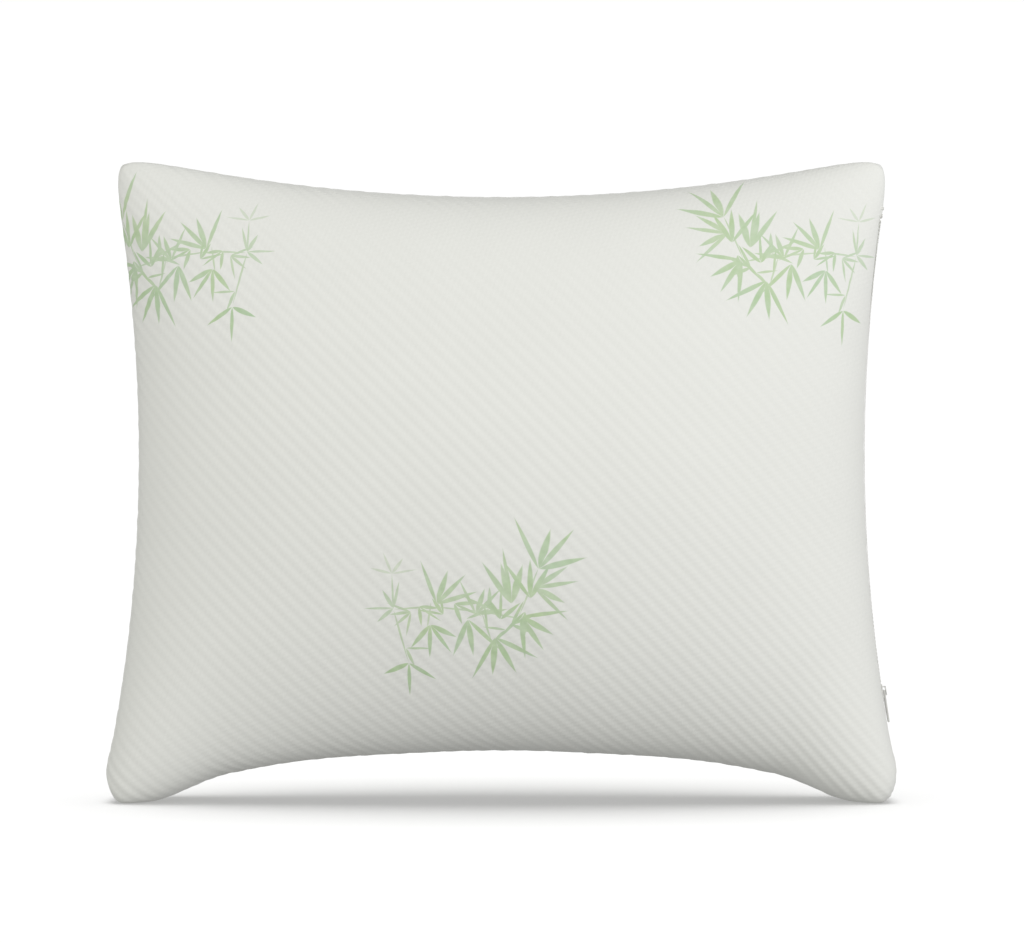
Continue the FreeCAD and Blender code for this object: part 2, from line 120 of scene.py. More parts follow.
def lower_edge_lift(x, z):
    """How far the taut lower edge is drawn up above its arc, so that each lower corner is a rounder lobe.

    The lift grows from its least in the middle to its most near the corners and ends before them, and
    fades out with height: each change is an S-shaped curve. The outermost part of each corner rises again,
    as a power of its distance from the lobe's lowest point."""
    middle_lift, corner_lift = EDGE_LIFTS
    from_middle = np.abs(x)
    lift = middle_lift + (corner_lift - middle_lift) * smooth_step(*LIFT_GROWS, from_middle)
    lift = lift * (1 - smooth_step(*LIFT_ENDS, from_middle)) * (1 - smooth_step(*LIFT_FADES, z))
    tip = TIP_LIFT * np.clip((from_middle - TIP_FROM) / TIP_RUN, 0, None) ** TIP_POWER
    return lift + tip * (1 - smooth_step(*TIP_FADES, z))


def pillow_points(facing, across, up, margins):
    """Points of the crowned front or back, at shares from -1 to 1 across and up.

    Width and height run between the outline's edges. Depth is half the loft times the square root of
    (1 - across squared) times (1 - up squared), with a lower power that plumps the two lower corners.
    The lower edge is lifted, and heights below the floor are pressed up to it with a small rounding."""
    edge_margin, crown_margin, floor = margins
    side_at, top_at, bottom_at, tip_low, tip_high, soft_low, soft_high = outline(edge_margin)
    across, up = np.broadcast_arrays(across, up)
    low_share, high_share = (1 - up) / 2, (1 + up) / 2
    x = across * side_at(tip_low[1] * low_share + tip_high[1] * high_share)
    z = bottom_at(across * tip_low[0]) * low_share + top_at(across * tip_high[0]) * high_share
    for above, (back_x, back_z, spread) in ((False, soft_low), (True, soft_high)):
        corner = np.where((up > 0) == above, np.abs(across * up) ** spread, 0)
        x = x - np.sign(across) * back_x * corner
        z = z - np.sign(up) * back_z * corner
    fullness = 0.5 - 0.5 * CORNER_FILL * (np.abs(across) * low_share) ** 3
    bulge = np.clip((1 - across**2) * (1 - up**2), 0, 1) ** fullness
    y = facing * (LOFT / 2 - crown_margin) * bulge
    z = z + lower_edge_lift(x, z)
    pressed = floor + (z - floor + np.sqrt((z - floor) ** 2 + FLOOR_ROUNDING**2)) / 2
    return np.stack([x, y, np.where(z - floor > FLOOR_REACH, z, pressed)], axis=-1)


def even_steps(line, spacing):
    """Shares from -1 to 1 at which a line's points lie evenly spaced along it."""
    shares = np.sin(np.linspace(-np.pi / 2, np.pi / 2, FINE_STEPS))
    points = line(shares)
    along = np.concatenate([[0], np.cumsum(np.linalg.norm(np.diff(points, axis=0), axis=1))])
    count = int(round(along[-1] / spacing)) + 1
    return np.interp(np.linspace(0, along[-1], count), along, shares)


def pillow_grid(margins, spacing):
    """Shares across, as a column, and up, as a row, evenly spaced along the middle of the crown."""
    across = even_steps(lambda share: pillow_points(FRONT, share, 0.0, margins), spacing)
    up = even_steps(lambda share: pillow_points(FRONT, 0.0, share, margins), spacing)
    return across[:, None], up[None, :]


def grid_quads(columns, rows, start=0):
    """Corner numbers of the four-sided faces of a grid of columns by rows of points."""
    corner = start + np.arange(columns * rows).reshape(columns, rows)
    quads = [corner[:-1, :-1], corner[1:, :-1], corner[1:, 1:], corner[:-1, 1:]]
    return np.stack(quads, axis=-1).reshape(-1, 4)


def closed_shell(near, far):
    """Points and faces of a closed body between two grids, joined round the rim.

    near is the grid whose faces are seen from -Y."""
    columns, rows = near.shape[:2]
    count = columns * rows
    number = np.arange(count).reshape(columns, rows)
    rim = np.concatenate([number[:-1, 0], number[-1, :-1], number[:0:-1, -1], number[0, :0:-1]])
    after = np.roll(rim, -1)
    strip = np.stack([after, rim, rim + count, after + count], axis=-1)
    quads = [grid_quads(columns, rows), grid_quads(columns, rows, count)[:, ::-1], strip]
    return np.concatenate([near.reshape(-1, 3), far.reshape(-1, 3)]), np.concatenate(quads)


def place_piece(name, mesh, material, body):
    """Put a finished mesh in the scene as a piece of one material that rides on a CAD body."""
    mesh.name = name
    mesh.materials.clear()
    mesh.materials.append(material)
    piece = bpy.data.objects.new(name, mesh)
    bpy.context.scene.collection.objects.link(piece)
    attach(piece, body)
    return piece


def make_piece(name, points, faces, material, record_slot, body="pillow", cloth=None):
    """A smooth mesh piece in its place, from points in millimetres and one or more arrays of faces.

    cloth is each point's place on the flat cloth, in metres, with the pillow's middle at 0.5, 0.5."""
    faces = [faces] if isinstance(faces, np.ndarray) else list(faces)
    mesh = bpy.data.meshes.new(name)
    corners = np.concatenate([block.ravel() for block in faces]).astype(np.int32)
    sides = np.concatenate([np.full(len(block), block.shape[1]) for block in faces])
    mesh.vertices.add(len(points))
    mesh.vertices.foreach_set("co", (np.asarray(points) * MM).astype(np.float32).ravel())
    mesh.loops.add(len(corners))
    mesh.loops.foreach_set("vertex_index", corners)
    mesh.polygons.add(len(sides))
    mesh.polygons.foreach_set("loop_start", (np.cumsum(sides) - sides).astype(np.int32))
    mesh.polygons.foreach_set("use_smooth", np.ones(len(sides), dtype=bool))
    mesh.update(calc_edges=True)
    if cloth is not None:
        flat = mesh.uv_layers.new(name="cloth")
        flat.uv.foreach_set("vector", cloth[corners].astype(np.float32).ravel())
    mesh.validate()
    return place_piece(name, mesh, material, body)


def linear(hex_colour):
    """An sRGB hex colour as linear red, green, blue and a full alpha."""
    parts = [int(hex_colour[k : k + 2], 16) / 255 for k in (1, 3, 5)]
    return tuple(p / 12.92 if p <= 0.04045 else ((p + 0.055) / 1.055) ** 2.4 for p in parts) + (1.0,)


def add_node(tree, kind, settings=None, inputs=None):
    """Add a node, set its properties, and fill or link its inputs."""
    node = tree.nodes.new(kind)
    for name, value in (settings or {}).items():
        setattr(node, name, value)
    for key, value in (inputs or {}).items():
        if isinstance(value, bpy.types.NodeSocket):
            tree.links.new(value, node.inputs[key])
        else:
            node.inputs[key].default_value = value
    return node


def new_material(name):
    """An empty material with its output node; returns the material, its tree and the output."""
    material = bpy.data.materials.new(name)
    material.use_nodes = True
    tree = material.node_tree
    tree.nodes.clear()
    return material, tree, add_node(tree, "ShaderNodeOutputMaterial")


# Polyurethane foam, cast and cut: an off-white open-celled face, dull, with cells about 1.5 mm apart.
foam, tree, output = new_material("open_cell_foam")
place = add_node(tree, "ShaderNodeTexCoord").outputs["Object"]
cells = add_node(tree, "ShaderNodeTexVoronoi", None, {"Vector": place, "Scale": 1 / (1.5 * MM)})
mottle = add_node(
    tree, "ShaderNodeTexNoise", None, {"Vector": place, "Scale": 1 / (40 * MM), "Detail": 3.0}
)
tint = add_node(
    tree, "ShaderNodeMix", {"data_type": "RGBA"},
    {0: mottle.outputs["Fac"], 6: linear("#E9E4D2"), 7: linear("#F3F0E4")},
)
dents = add_node(
    tree, "ShaderNodeBump", None,
    {"Height": cells.outputs["Distance"], "Strength": 0.8, "Distance": 0.4 * MM},
)
surface = add_node(
    tree, "ShaderNodeBsdfPrincipled", None,
    {"Base Color": tint.outputs[2], "Roughness": 0.95, "IOR": 1.45, "Normal": dents.outputs["Normal"]},
)
tree.links.new(surface.outputs["BSDF"], output.inputs["Surface"])

across, up = pillow_grid(FILLING_MARGINS, FILLING_SPACING)
halves = [pillow_points(facing, across, up, FILLING_MARGINS) for facing in (FRONT, BACK)]
for facing, half_block in zip((FRONT, BACK), halves):
    half_block[..., 1] += facing * FILLING_EDGE / 2
filling = make_piece("foam_filling", *closed_shell(*halves), foam, record_slot="foam")
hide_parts("foam_fill")

# ---- Inner casing ----
# Two panels of thin plain-woven polycotton that hold the filling, cut like the cover but smaller, and
# overlocked together round the edge.

CASING_MARGINS = (7.8, 1.8, 7.8)
CASING_WALL = 0.6
CASING_SPACING = 4.0
CASING_THREAD_SPACING = 0.9  # real threads lie 0.3 mm apart, too fine to show

# Bleached polycotton, plain woven: flat, matt and slightly cool, with a fine square weave.
casing_cloth, tree, output = new_material("plain_woven_polycotton")
place = add_node(tree, "ShaderNodeUVMap", {"uv_map": "cloth"}).outputs["UV"]
threads = add_node(
    tree, "ShaderNodeVectorMath", {"operation": "SCALE"},
    {0: place, "Scale": 2 * math.pi / (CASING_THREAD_SPACING * MM)},
)
waves = add_node(tree, "ShaderNodeVectorMath", {"operation": "SINE"}, {0: threads.outputs[0]})
split = add_node(tree, "ShaderNodeSeparateXYZ", None, {0: waves.outputs[0]})
weave = add_node(
    tree, "ShaderNodeMath", {"operation": "MULTIPLY"}, {0: split.outputs["X"], 1: split.outputs["Y"]}
)
relief = add_node(
    tree, "ShaderNodeBump", None, {"Height": weave.outputs[0], "Strength": 0.6, "Distance": 0.08 * MM}
)
mottle = add_node(
    tree, "ShaderNodeTexNoise", None, {"Vector": place, "Scale": 1 / (60 * MM), "Detail": 4.0}
)
tint = add_node(
    tree, "ShaderNodeMix", {"data_type": "RGBA"},
    {0: mottle.outputs["Fac"], 6: linear("#E6E6E4"), 7: linear("#F2F2F0")},
)
surface = add_node(
    tree, "ShaderNodeBsdfPrincipled", None,
    {"Base Color": tint.outputs[2], "Roughness": 0.85, "IOR": 1.5, "Normal": relief.outputs["Normal"]},
)
tree.links.new(surface.outputs["BSDF"], output.inputs["Surface"])


def lengths_from_middle(points, axis):
    """Distance along the cloth in one direction of the grid, from the grid line in the pillow's middle."""
    steps = np.linalg.norm(np.diff(points, axis=axis), axis=-1)
    start = np.zeros_like(np.take(steps, [0], axis=axis))
    along = np.concatenate([start, np.cumsum(steps, axis=axis)], axis=axis)
    middle = points.shape[axis] // 2
    return along - np.take(along, [middle], axis=axis)


def cloth_places(points, facing):
    """Each grid point's place on the flat cloth as seen from outside, in metres, with the middle at 0.5."""
    right = -facing * lengths_from_middle(points, 0)
    flat = np.stack([right, lengths_from_middle(points, 1)], axis=-1)
    return 0.5 + flat.reshape(-1, 2) * MM


def shell_of(facing, outer, inner):
    """A panel's closed shell from its outer and inner grids, whichever way the panel faces."""
    return closed_shell(outer, inner) if facing == FRONT else closed_shell(inner, outer)


across, up = pillow_grid(CASING_MARGINS, CASING_SPACING)
inner_margins = tuple(margin + CASING_WALL for margin in CASING_MARGINS)
for side_name, facing in (("front", FRONT), ("back", BACK)):
    outer = pillow_points(facing, across, up, CASING_MARGINS)
    inner = pillow_points(facing, across, up, inner_margins)
    flat = cloth_places(outer, facing)
    casing = make_piece(
        f"casing_{side_name}", *shell_of(facing, outer, inner), casing_cloth,
        record_slot="liner_cloth", cloth=np.concatenate([flat, flat]),
    )
    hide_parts(f"liner_{side_name}_panel")

# ---- Seam threads ----
# Spun polyester overlock thread that binds the raw edges of the casing and of the cover from the inside.
# Each is a flat band of close diagonal stitches, a copy of its CAD solid that follows the lower edge.

MERGE_DISTANCE = 0.002
TONE_DRIFT = 27.646

# Spun polyester thread: soft and matt, with a tone that drifts a little along the seam. Its twist is too
# fine to show. A diagonal wave texture has 10 radians to the unit, hence the 10 in its scale.
thread, tree, output = new_material("spun_polyester_thread")
place = add_node(tree, "ShaderNodeTexCoord").outputs["Object"]
twist = add_node(
    tree, "ShaderNodeTexWave", {"bands_direction": "DIAGONAL"},
    {"Vector": place, "Scale": 2 * math.pi / (10 * TONE_DRIFT * MM), "Distortion": 1.5, "Detail": 2.0},
)
relief = add_node(
    tree, "ShaderNodeBump", None, {"Height": twist.outputs["Fac"], "Strength": 0.7, "Distance": 0.15 * MM}
)
tint = add_node(
    tree, "ShaderNodeMix", {"data_type": "RGBA"},
    {0: twist.outputs["Fac"], 6: linear("#D5D5CE"), 7: linear("#E8E8E2")},
)
surface = add_node(
    tree, "ShaderNodeBsdfPrincipled", None,
    {"Base Color": tint.outputs[2], "Roughness": 0.75, "IOR": 1.54, "Normal": relief.outputs["Normal"]},
)
tree.links.new(surface.outputs["BSDF"], output.inputs["Surface"])


def merged_copy(node_name):
    """A CAD node's mesh, copied, and the copy's loose triangles merged, open for editing."""
    mesh = bpy.data.objects[node_name].data.copy()
    work = bmesh.new()
    work.from_mesh(mesh)
    bmesh.ops.remove_doubles(work, verts=work.verts, dist=MERGE_DISTANCE * MM)
    return mesh, work


for seam_name, name in (("liner_seam_thread", "liner_overlock"), ("cover_seam_thread", "cover_overlock")):
    mesh, work = merged_copy(seam_name)
    work.to_mesh(mesh)
    work.free()
    points = np.empty(len(mesh.vertices) * 3, dtype=np.float32)
    mesh.vertices.foreach_get("co", points)
    points = points.reshape(-1, 3) / MM
    points[:, 2] += lower_edge_lift(points[:, 0], points[:, 2])
    mesh.vertices.foreach_set("co", (points * MM).astype(np.float32).ravel())
    mesh.update()
    overlock = place_piece(name, mesh, thread, "pillow")
    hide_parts(seam_name)

# ---- Cover ----
# Two panels of thick double-knit jacquard, off-white with fine diagonal ribs and a faded print of
# bamboo-like sprays. They are sewn together inside out, so that the seam is only a soft groove, and the
# right-hand seam is left open for the zip.

COVER_MARGINS = (0.0, 0.0, 0.0)
COVER_WALL, COVER_SPACING = 1.6, 2.0
RIB_PITCH, RIB_HEIGHT = 8.1, 0.46
SEAM_GROOVE, SEAM_GROOVE_WIDTH = 0.9, 2.6
PUCKER_HEIGHT, PUCKER_PITCH, PUCKER_REACH = 0.45, 13.0, 16.0
PUCKER_LEAN, PUCKER_SHIFT = 1.07, 40  # so that the puckers differ from side to side and front to back
# Size, rate and start of each of the puckers' waves.
PUCKER_WAVES = ((1.0, 2 * math.pi, 0.0), (0.7, 2 * math.pi * 0.618, 1.0), (0.5, 9.1, 0.0))
RIBS_START, PUCKERS_START, PUCKERS_FULL = (2, 14), (0, 8), 3  # from the seam
RELIEF_START = (0.5, 6)  # above the floor
EDGE_SOFTNESS, EDGE_FAR = 3.0, 300
SLOT_HALF, ZIP_LOW, ZIP_HIGH, SLOT_END = 5.2, 71.995, 450.425, 5.0


def across_at(depth, up, margins):
    """Share across at which a panel lies so far from the middle plane, found by halving."""
    depth, up = np.broadcast_arrays(depth, up)
    near_middle, near_edge = np.full(up.shape, 0.5), np.ones(up.shape)
    for _ in range(SEARCH_ROUNDS):
        share = (near_middle + near_edge) / 2
        deeper = np.abs(pillow_points(FRONT, share, up, margins)[..., 1]) > depth
        near_middle = np.where(deeper, share, near_middle)
        near_edge = np.where(deeper, near_edge, share)
    return share


def outward_normals(points, facing):
    """Unit normals of a grid that point away from the pillow's middle."""
    normal = np.cross(np.gradient(points, axis=0), np.gradient(points, axis=1)) * -facing
    return normal / np.maximum(np.linalg.norm(normal, axis=-1, keepdims=True), 1e-9)


def edge_distance(points):
    """Distance along the cloth to the nearest edge of the grid, rounded where two edges are as near."""
    ways = []
    for axis in (0, 1):
        along = lengths_from_middle(points, axis)
        ends = np.take(along, [0], axis=axis), np.take(along, [-1], axis=axis)
        ways += [along - ends[0], ends[1] - along]
    return -EDGE_SOFTNESS * np.log(sum(np.exp(-np.minimum(way, EDGE_FAR) / EDGE_SOFTNESS) for way in ways))


def knitted_relief(right, above, edge, facing):
    """How far the cloth stands out, from its place on the flat cloth and its distance to the seam.

    Diagonal ribs are a cosine across their run. A groove runs along the seam, and short soft puckers,
    a sum of three sines along the edge, die out away from it."""
    ribs = RIB_HEIGHT / 2 * np.cos(2 * np.pi * (right + above) / (math.sqrt(2) * RIB_PITCH))
    groove = -SEAM_GROOVE * np.exp(-((edge / SEAM_GROOVE_WIDTH) ** 2))
    run = (right + above * PUCKER_LEAN + PUCKER_SHIFT * facing) / PUCKER_PITCH
    waves = sum(size * np.sin(rate * run + start) for size, rate, start in PUCKER_WAVES)
    fade = np.exp(-np.maximum(edge - PUCKERS_FULL, 0) / PUCKER_REACH) * smooth_step(*PUCKERS_START, edge)
    return ribs * smooth_step(*RIBS_START, edge) + groove + PUCKER_HEIGHT / 2 * waves * fade


across, up = pillow_grid(COVER_MARGINS, COVER_SPACING)
edge_heights = pillow_points(FRONT, 1.0, up, COVER_MARGINS)[..., 2]
opening = SLOT_HALF * smooth_step(ZIP_LOW, ZIP_LOW + SLOT_END, edge_heights)
opening *= 1 - smooth_step(ZIP_HIGH - SLOT_END, ZIP_HIGH, edge_heights)
slot_share = np.where(opening > 0, across_at(opening, up, COVER_MARGINS), 1)
across = np.where(across > 0, across * slot_share, across)
inner_margins = tuple(margin + COVER_WALL for margin in COVER_MARGINS)
panels = {}
for side_name, facing in (("front", FRONT), ("back", BACK)):
    outer = pillow_points(facing, across, up, COVER_MARGINS)
    inner = pillow_points(facing, across, up, inner_margins)
    right = -facing * lengths_from_middle(outer, 0)
    above = lengths_from_middle(outer, 1)
    relief = knitted_relief(right, above, edge_distance(outer), facing)
    relief = relief * smooth_step(*RELIEF_START, outer[..., 2])
    flat = cloth_places(outer, facing)
    outer = outer + outward_normals(outer, facing) * relief[..., None]
    # The panels meet in the middle plane along the seam, on every side but the zip's.
    outer[:, [0, -1], 1] = 0
    outer[0, :, 1] = 0
    panels[side_name] = (facing, outer, inner, np.concatenate([flat, flat]))

# Polyester and viscose double knit, heat-set after printing: matt, soft and slightly uneven. The knit's own
# loops are about 1.3 mm wide and the ribs are beaded every 4 mm.
PRINT_REPEAT, PRINT_ROW, PRINT_SHIFT = 466.0, 270.0, 240.0
SPRAY_MIDDLE = (-23.5, -100.0)
BEAD_PITCH, LOOP_PITCH = 4.05, 1.35
BEAD_HEIGHT, LOOP_HEIGHT = 0.045, 0.015
LEAF_SHARE, LEAF_POWER = 0.078, 0.75  # half a leaf's width as a share of its length, and how near its base
STEM_HALF_WIDTH, STEM_OVERRUN, STEM_BARE = 1.0, 1.1, 0.3  # the last is how much cloth shows through
SWAY_RATE, SEED_STEP = 2.6, 1.7  # radians from leaf to leaf and from whorl to whorl
HEADING_SWAY, LENGTH_SWAY, WIDTH_SWAY = 0.09, 0.16, -0.22  # radians, then shares of the size
LENGTH_MEAN, WIDTH_MEAN = 0.95, 0.9
INK_EDGE, INK_WEAR, INK_LEAST = 0.35, 0.6, 0.65  # a leaf's soft edge, its ink's change and its least
# Each whorl of leaves: its place in the spray, the way that it opens and its spread in degrees, how many
# leaves it has, how long they are, and how much ink they took, from 0 to 1.
WHORLS = (
    (50, 30, 62, 96, 4, 40, 0.88),
    (47, 16, -8, 84, 4, 33, 0.82),
    (44, 8, 92, 60, 3, 34, 0.92),
    (30, 4, 101, 44, 4, 40, 0.86),
    (37, -6, -42, 90, 4, 34, 0.92),
    (40, -2, -112, 50, 2, 28, 0.90),
    (30, -12, 22, 80, 3, 22, 0.86),
    (22, -8, 84, 80, 3, 24, 0.92),
    (18, -22, -76, 92, 4, 36, 0.95),
    (26, -16, -160, 60, 2, 18, 0.85),
    (14, 0, 150, 110, 3, 22, 0.80),
    (4, -4, 60, 100, 4, 27, 0.82),
    (10, 4, -58, 60, 2, 21, 0.88),
    (-2, -8, -80, 62, 3, 34, 0.92),
    (-12, 4, -30, 70, 3, 22, 0.86),
    (-25, 4, 60, 90, 4, 33, 0.86),
    (-20, -4, 130, 70, 3, 20, 0.88),
    (-30, -12, -74, 104, 4, 28, 0.94),
    (-38, 2, -40, 80, 3, 19, 0.86),
    (-44, -2, 205, 100, 4, 19, 0.74),
    (-57, 1, 150, 150, 4, 21, 0.70),
    (-46, -42, -92, 118, 3, 27, 1.00),
    (-48, -30, -35, 60, 2, 19, 0.80),
    (-58, 27, 84, 160, 4, 18, 0.42),
)
# Each stem, from its foot to its tip.
STEMS = (
    ((50, 31), (35, -7)), ((35, -7), (8, -2)), ((15, -24), (8, -2)), ((8, -2), (-29, 2)),
    ((-29, 2), (-57, 0)), ((-32, -14), (-29, 6)), ((-57, 0), (-46, -42)), ((-57, 0), (-58, 27)),
)


def printed_whorl():
    """Node group of one fan of leaves: 1 on bare cloth and less where a leaf is printed.

    The angle round the fan's base, divided by the step between leaves and rounded, says which leaf is
    nearest. In that leaf's own frame, along from 0 to 1 and across from -1 to 1, the cloth is inked where
    4 s (1 - s) is more than the distance across, with s a power of the place along. A sine of the
    leaf's number varies heading, length and width."""
    group = bpy.data.node_groups.new("printed_whorl", "ShaderNodeTree")
    for name in ("Place", "Base", "Turn"):
        group.interface.new_socket(name, in_out="INPUT", socket_type="NodeSocketVector")
    for name in ("Step", "Last", "Length", "Width", "Left", "Seed"):
        group.interface.new_socket(name, in_out="INPUT", socket_type="NodeSocketFloat")
    group.interface.new_socket("Bare", in_out="OUTPUT", socket_type="NodeSocketFloat")
    given = add_node(group, "NodeGroupInput").outputs
    fan = add_node(
        group, "ShaderNodeMapping", {"vector_type": "TEXTURE"},
        {"Vector": given["Place"], "Location": given["Base"], "Rotation": given["Turn"]},
    ).outputs[0]
    fan_split = add_node(group, "ShaderNodeSeparateXYZ", None, {0: fan}).outputs
    known = {name: given[name] for name in ("Step", "Last", "Length", "Width", "Seed")}
    known.update({"fan_x": fan_split["X"], "fan_y": fan_split["Y"]})
    for result, operation, *terms in (
        ("angle", "ARCTAN2", "fan_y", "fan_x"),
        ("steps", "DIVIDE", "angle", "Step"),
        ("nearest", "ROUND", "steps"),
        ("not_past", "MINIMUM", "nearest", "Last"),
        ("number", "MAXIMUM", "not_past", 0.0),
        ("phase", "MULTIPLY_ADD", "number", SWAY_RATE, "Seed"),
        ("sway", "SINE", "phase"),
        ("lean", "MULTIPLY", "sway", HEADING_SWAY),
        ("heading", "MULTIPLY_ADD", "number", "Step", "lean"),
        ("turn_back", "MULTIPLY", "heading", -1.0),
    ):
        inputs = {place: known.get(term, term) for place, term in enumerate(terms)}
        known[result] = add_node(group, "ShaderNodeMath", {"operation": operation}, inputs).outputs[0]
    leaf = add_node(
        group, "ShaderNodeVectorRotate", {"rotation_type": "Z_AXIS"},
        {"Vector": fan, "Angle": known["turn_back"]},
    ).outputs[0]
    leaf_split = add_node(group, "ShaderNodeSeparateXYZ", None, {0: leaf}).outputs
    known.update({"leaf_x": leaf_split["X"], "leaf_y": leaf_split["Y"]})
    for result, operation, *terms in (
        ("length_share", "MULTIPLY_ADD", "sway", LENGTH_SWAY, LENGTH_MEAN),
        ("length", "MULTIPLY", "Length", "length_share"),
        ("width_share", "MULTIPLY_ADD", "sway", WIDTH_SWAY, WIDTH_MEAN),
        ("width", "MULTIPLY", "Width", "width_share"),
        ("clamped_part", "DIVIDE", "leaf_x", "length"),
        ("along", "POWER", "clamped_part", LEAF_POWER),
        ("rest", "SUBTRACT", 1.0, "along"),
        ("quarter", "MULTIPLY", "along", "rest"),
        ("full", "MULTIPLY", "quarter", 4.0),
        ("off_middle", "ABSOLUTE", "leaf_y"),
        ("sideways", "DIVIDE", "off_middle", "width"),
        ("inside", "SUBTRACT", "full", "sideways"),
    ):
        settings = {"operation": operation, "use_clamp": result == "clamped_part"}
        inputs = {place: known.get(term, term) for place, term in enumerate(terms)}
        known[result] = add_node(group, "ShaderNodeMath", settings, inputs).outputs[0]
    bare = add_node(
        group, "ShaderNodeMapRange", {"interpolation_type": "SMOOTHSTEP"},
        {
            "Value": known["inside"], "From Min": 0.0, "From Max": INK_EDGE,
            "To Min": 1.0, "To Max": given["Left"],
        },
    )
    add_node(group, "NodeGroupOutput", None, {"Bare": bare.outputs["Result"]})
    return group


def spray_fans():
    """Every whorl and stem of the spray, as the inputs of its node group. A stem is a whorl of one leaf."""
    fans = []
    for seed, (x, y, opens, spread, count, length, ink) in enumerate(WHORLS):
        fans.append({
            "Base": (x, y, 0), "Turn": (0, 0, math.radians(opens - spread / 2)),
            "Step": math.radians(spread / (count - 1)), "Last": count - 1,
            "Length": length, "Width": LEAF_SHARE * length, "Left": 1 - ink, "Seed": SEED_STEP * seed,
        })
    for (x0, y0), (x1, y1) in STEMS:
        fans.append({
            "Base": (x0, y0, 0), "Turn": (0, 0, math.atan2(y1 - y0, x1 - x0)), "Step": 1.0, "Last": 0,
            "Length": math.hypot(x1 - x0, y1 - y0) * STEM_OVERRUN, "Width": STEM_HALF_WIDTH,
            "Left": STEM_BARE, "Seed": 0.0,
        })
    return fans


knit, tree, output = new_material("printed_double_knit")
place = add_node(tree, "ShaderNodeUVMap", {"uv_map": "cloth"}).outputs["UV"]
in_mm = add_node(
    tree, "ShaderNodeVectorMath", {"operation": "MULTIPLY_ADD"},
    {0: place, 1: (1 / MM, 1 / MM, 0), 2: (-0.5 / MM, -0.5 / MM, 0)},
)
cloth_split = add_node(tree, "ShaderNodeSeparateXYZ", None, {0: in_mm.outputs[0]}).outputs
known = {"right": cloth_split["X"], "above": cloth_split["Y"]}
# The print's rows alternate: each is shifted by about half a repeat and mirrored.
for result, operation, *terms in (
    ("above_base", "ADD", "above", PRINT_ROW / 2 - SPRAY_MIDDLE[1]),
    ("rows", "DIVIDE", "above_base", PRINT_ROW),
    ("row", "FLOOR", "rows"),
    ("row_height", "MULTIPLY_ADD", "row", PRINT_ROW, SPRAY_MIDDLE[1]),
    ("spray_y", "SUBTRACT", "above", "row_height"),
    ("row_shift", "MULTIPLY_ADD", "row", PRINT_SHIFT, SPRAY_MIDDLE[0]),
    ("from_spray", "SUBTRACT", "right", "row_shift"),
    ("repeated", "WRAP", "from_spray", PRINT_REPEAT / 2, -PRINT_REPEAT / 2),
    ("odd_row", "PINGPONG", "row", 1.0),
    ("mirror", "MULTIPLY_ADD", "odd_row", -2.0, 1.0),
    ("spray_x", "MULTIPLY", "repeated", "mirror"),
):
    inputs = {place_in: known.get(term, term) for place_in, term in enumerate(terms)}
    known[result] = add_node(tree, "ShaderNodeMath", {"operation": operation}, inputs).outputs[0]
in_spray = add_node(
    tree, "ShaderNodeCombineXYZ", None, {"X": known["spray_x"], "Y": known["spray_y"]}
).outputs[0]
whorl_group = printed_whorl()
bare = 1.0
for fan in spray_fans():
    fan_bare = add_node(
        tree, "ShaderNodeGroup", {"node_tree": whorl_group}, {"Place": in_spray, **fan}
    ).outputs[0]
    bare = add_node(tree, "ShaderNodeMath", {"operation": "MINIMUM"}, {0: bare, 1: fan_bare}).outputs[0]
wear = add_node(tree, "ShaderNodeTexNoise", None, {"Vector": place, "Scale": 1 / (9 * MM), "Detail": 3.0})
known.update({"bare": bare, "wear": wear.outputs["Fac"]})
# Ink where the cloth isn't bare, then beads along the ribs and the knit's loops, as heights in millimetres.
for result, operation, *terms in (
    ("covered", "SUBTRACT", 1.0, "bare"),
    ("ink_taken", "MULTIPLY_ADD", "wear", INK_WEAR, INK_LEAST),
    ("inked", "MULTIPLY", "covered", "ink_taken"),
    ("down_right", "SUBTRACT", "right", "above"),
    ("up_right", "ADD", "right", "above"),
    ("along_rib", "MULTIPLY", "down_right", 2 * math.pi / (math.sqrt(2) * BEAD_PITCH)),
    ("across_rib", "MULTIPLY", "up_right", 2 * math.pi / (math.sqrt(2) * RIB_PITCH)),
    ("bead_rows", "SINE", "along_rib"),
    ("rib_rows", "COSINE", "across_rib"),
    ("beads", "MULTIPLY", "bead_rows", "rib_rows"),
    ("loops_right", "MULTIPLY", "right", 2 * math.pi / LOOP_PITCH),
    ("loops_above", "MULTIPLY", "above", 2 * math.pi / LOOP_PITCH),
    ("wales", "SINE", "loops_right"),
    ("courses", "SINE", "loops_above"),
    ("loops", "MULTIPLY", "wales", "courses"),
    ("loop_heights", "MULTIPLY", "loops", LOOP_HEIGHT),
    ("height", "MULTIPLY_ADD", "beads", BEAD_HEIGHT, "loop_heights"),
):
    inputs = {place_in: known.get(term, term) for place_in, term in enumerate(terms)}
    known[result] = add_node(tree, "ShaderNodeMath", {"operation": operation}, inputs).outputs[0]
hue = add_node(tree, "ShaderNodeTexNoise", None, {"Vector": place, "Scale": 1 / (38 * MM), "Detail": 1.0})
ink = add_node(
    tree, "ShaderNodeMix", {"data_type": "RGBA"},
    {0: hue.outputs["Fac"], 6: linear("#ABC4A6"), 7: linear("#B5CA98")},
)
mottle = add_node(
    tree, "ShaderNodeTexNoise", None, {"Vector": place, "Scale": 1 / (70 * MM), "Detail": 3.0}
)
yarn = add_node(
    tree, "ShaderNodeMix", {"data_type": "RGBA"},
    {0: mottle.outputs["Fac"], 6: linear("#DFE0DA"), 7: linear("#E3E4DE")},
)
colour = add_node(
    tree, "ShaderNodeMix", {"data_type": "RGBA"},
    {0: known["inked"], 6: yarn.outputs[2], 7: ink.outputs[2]},
)
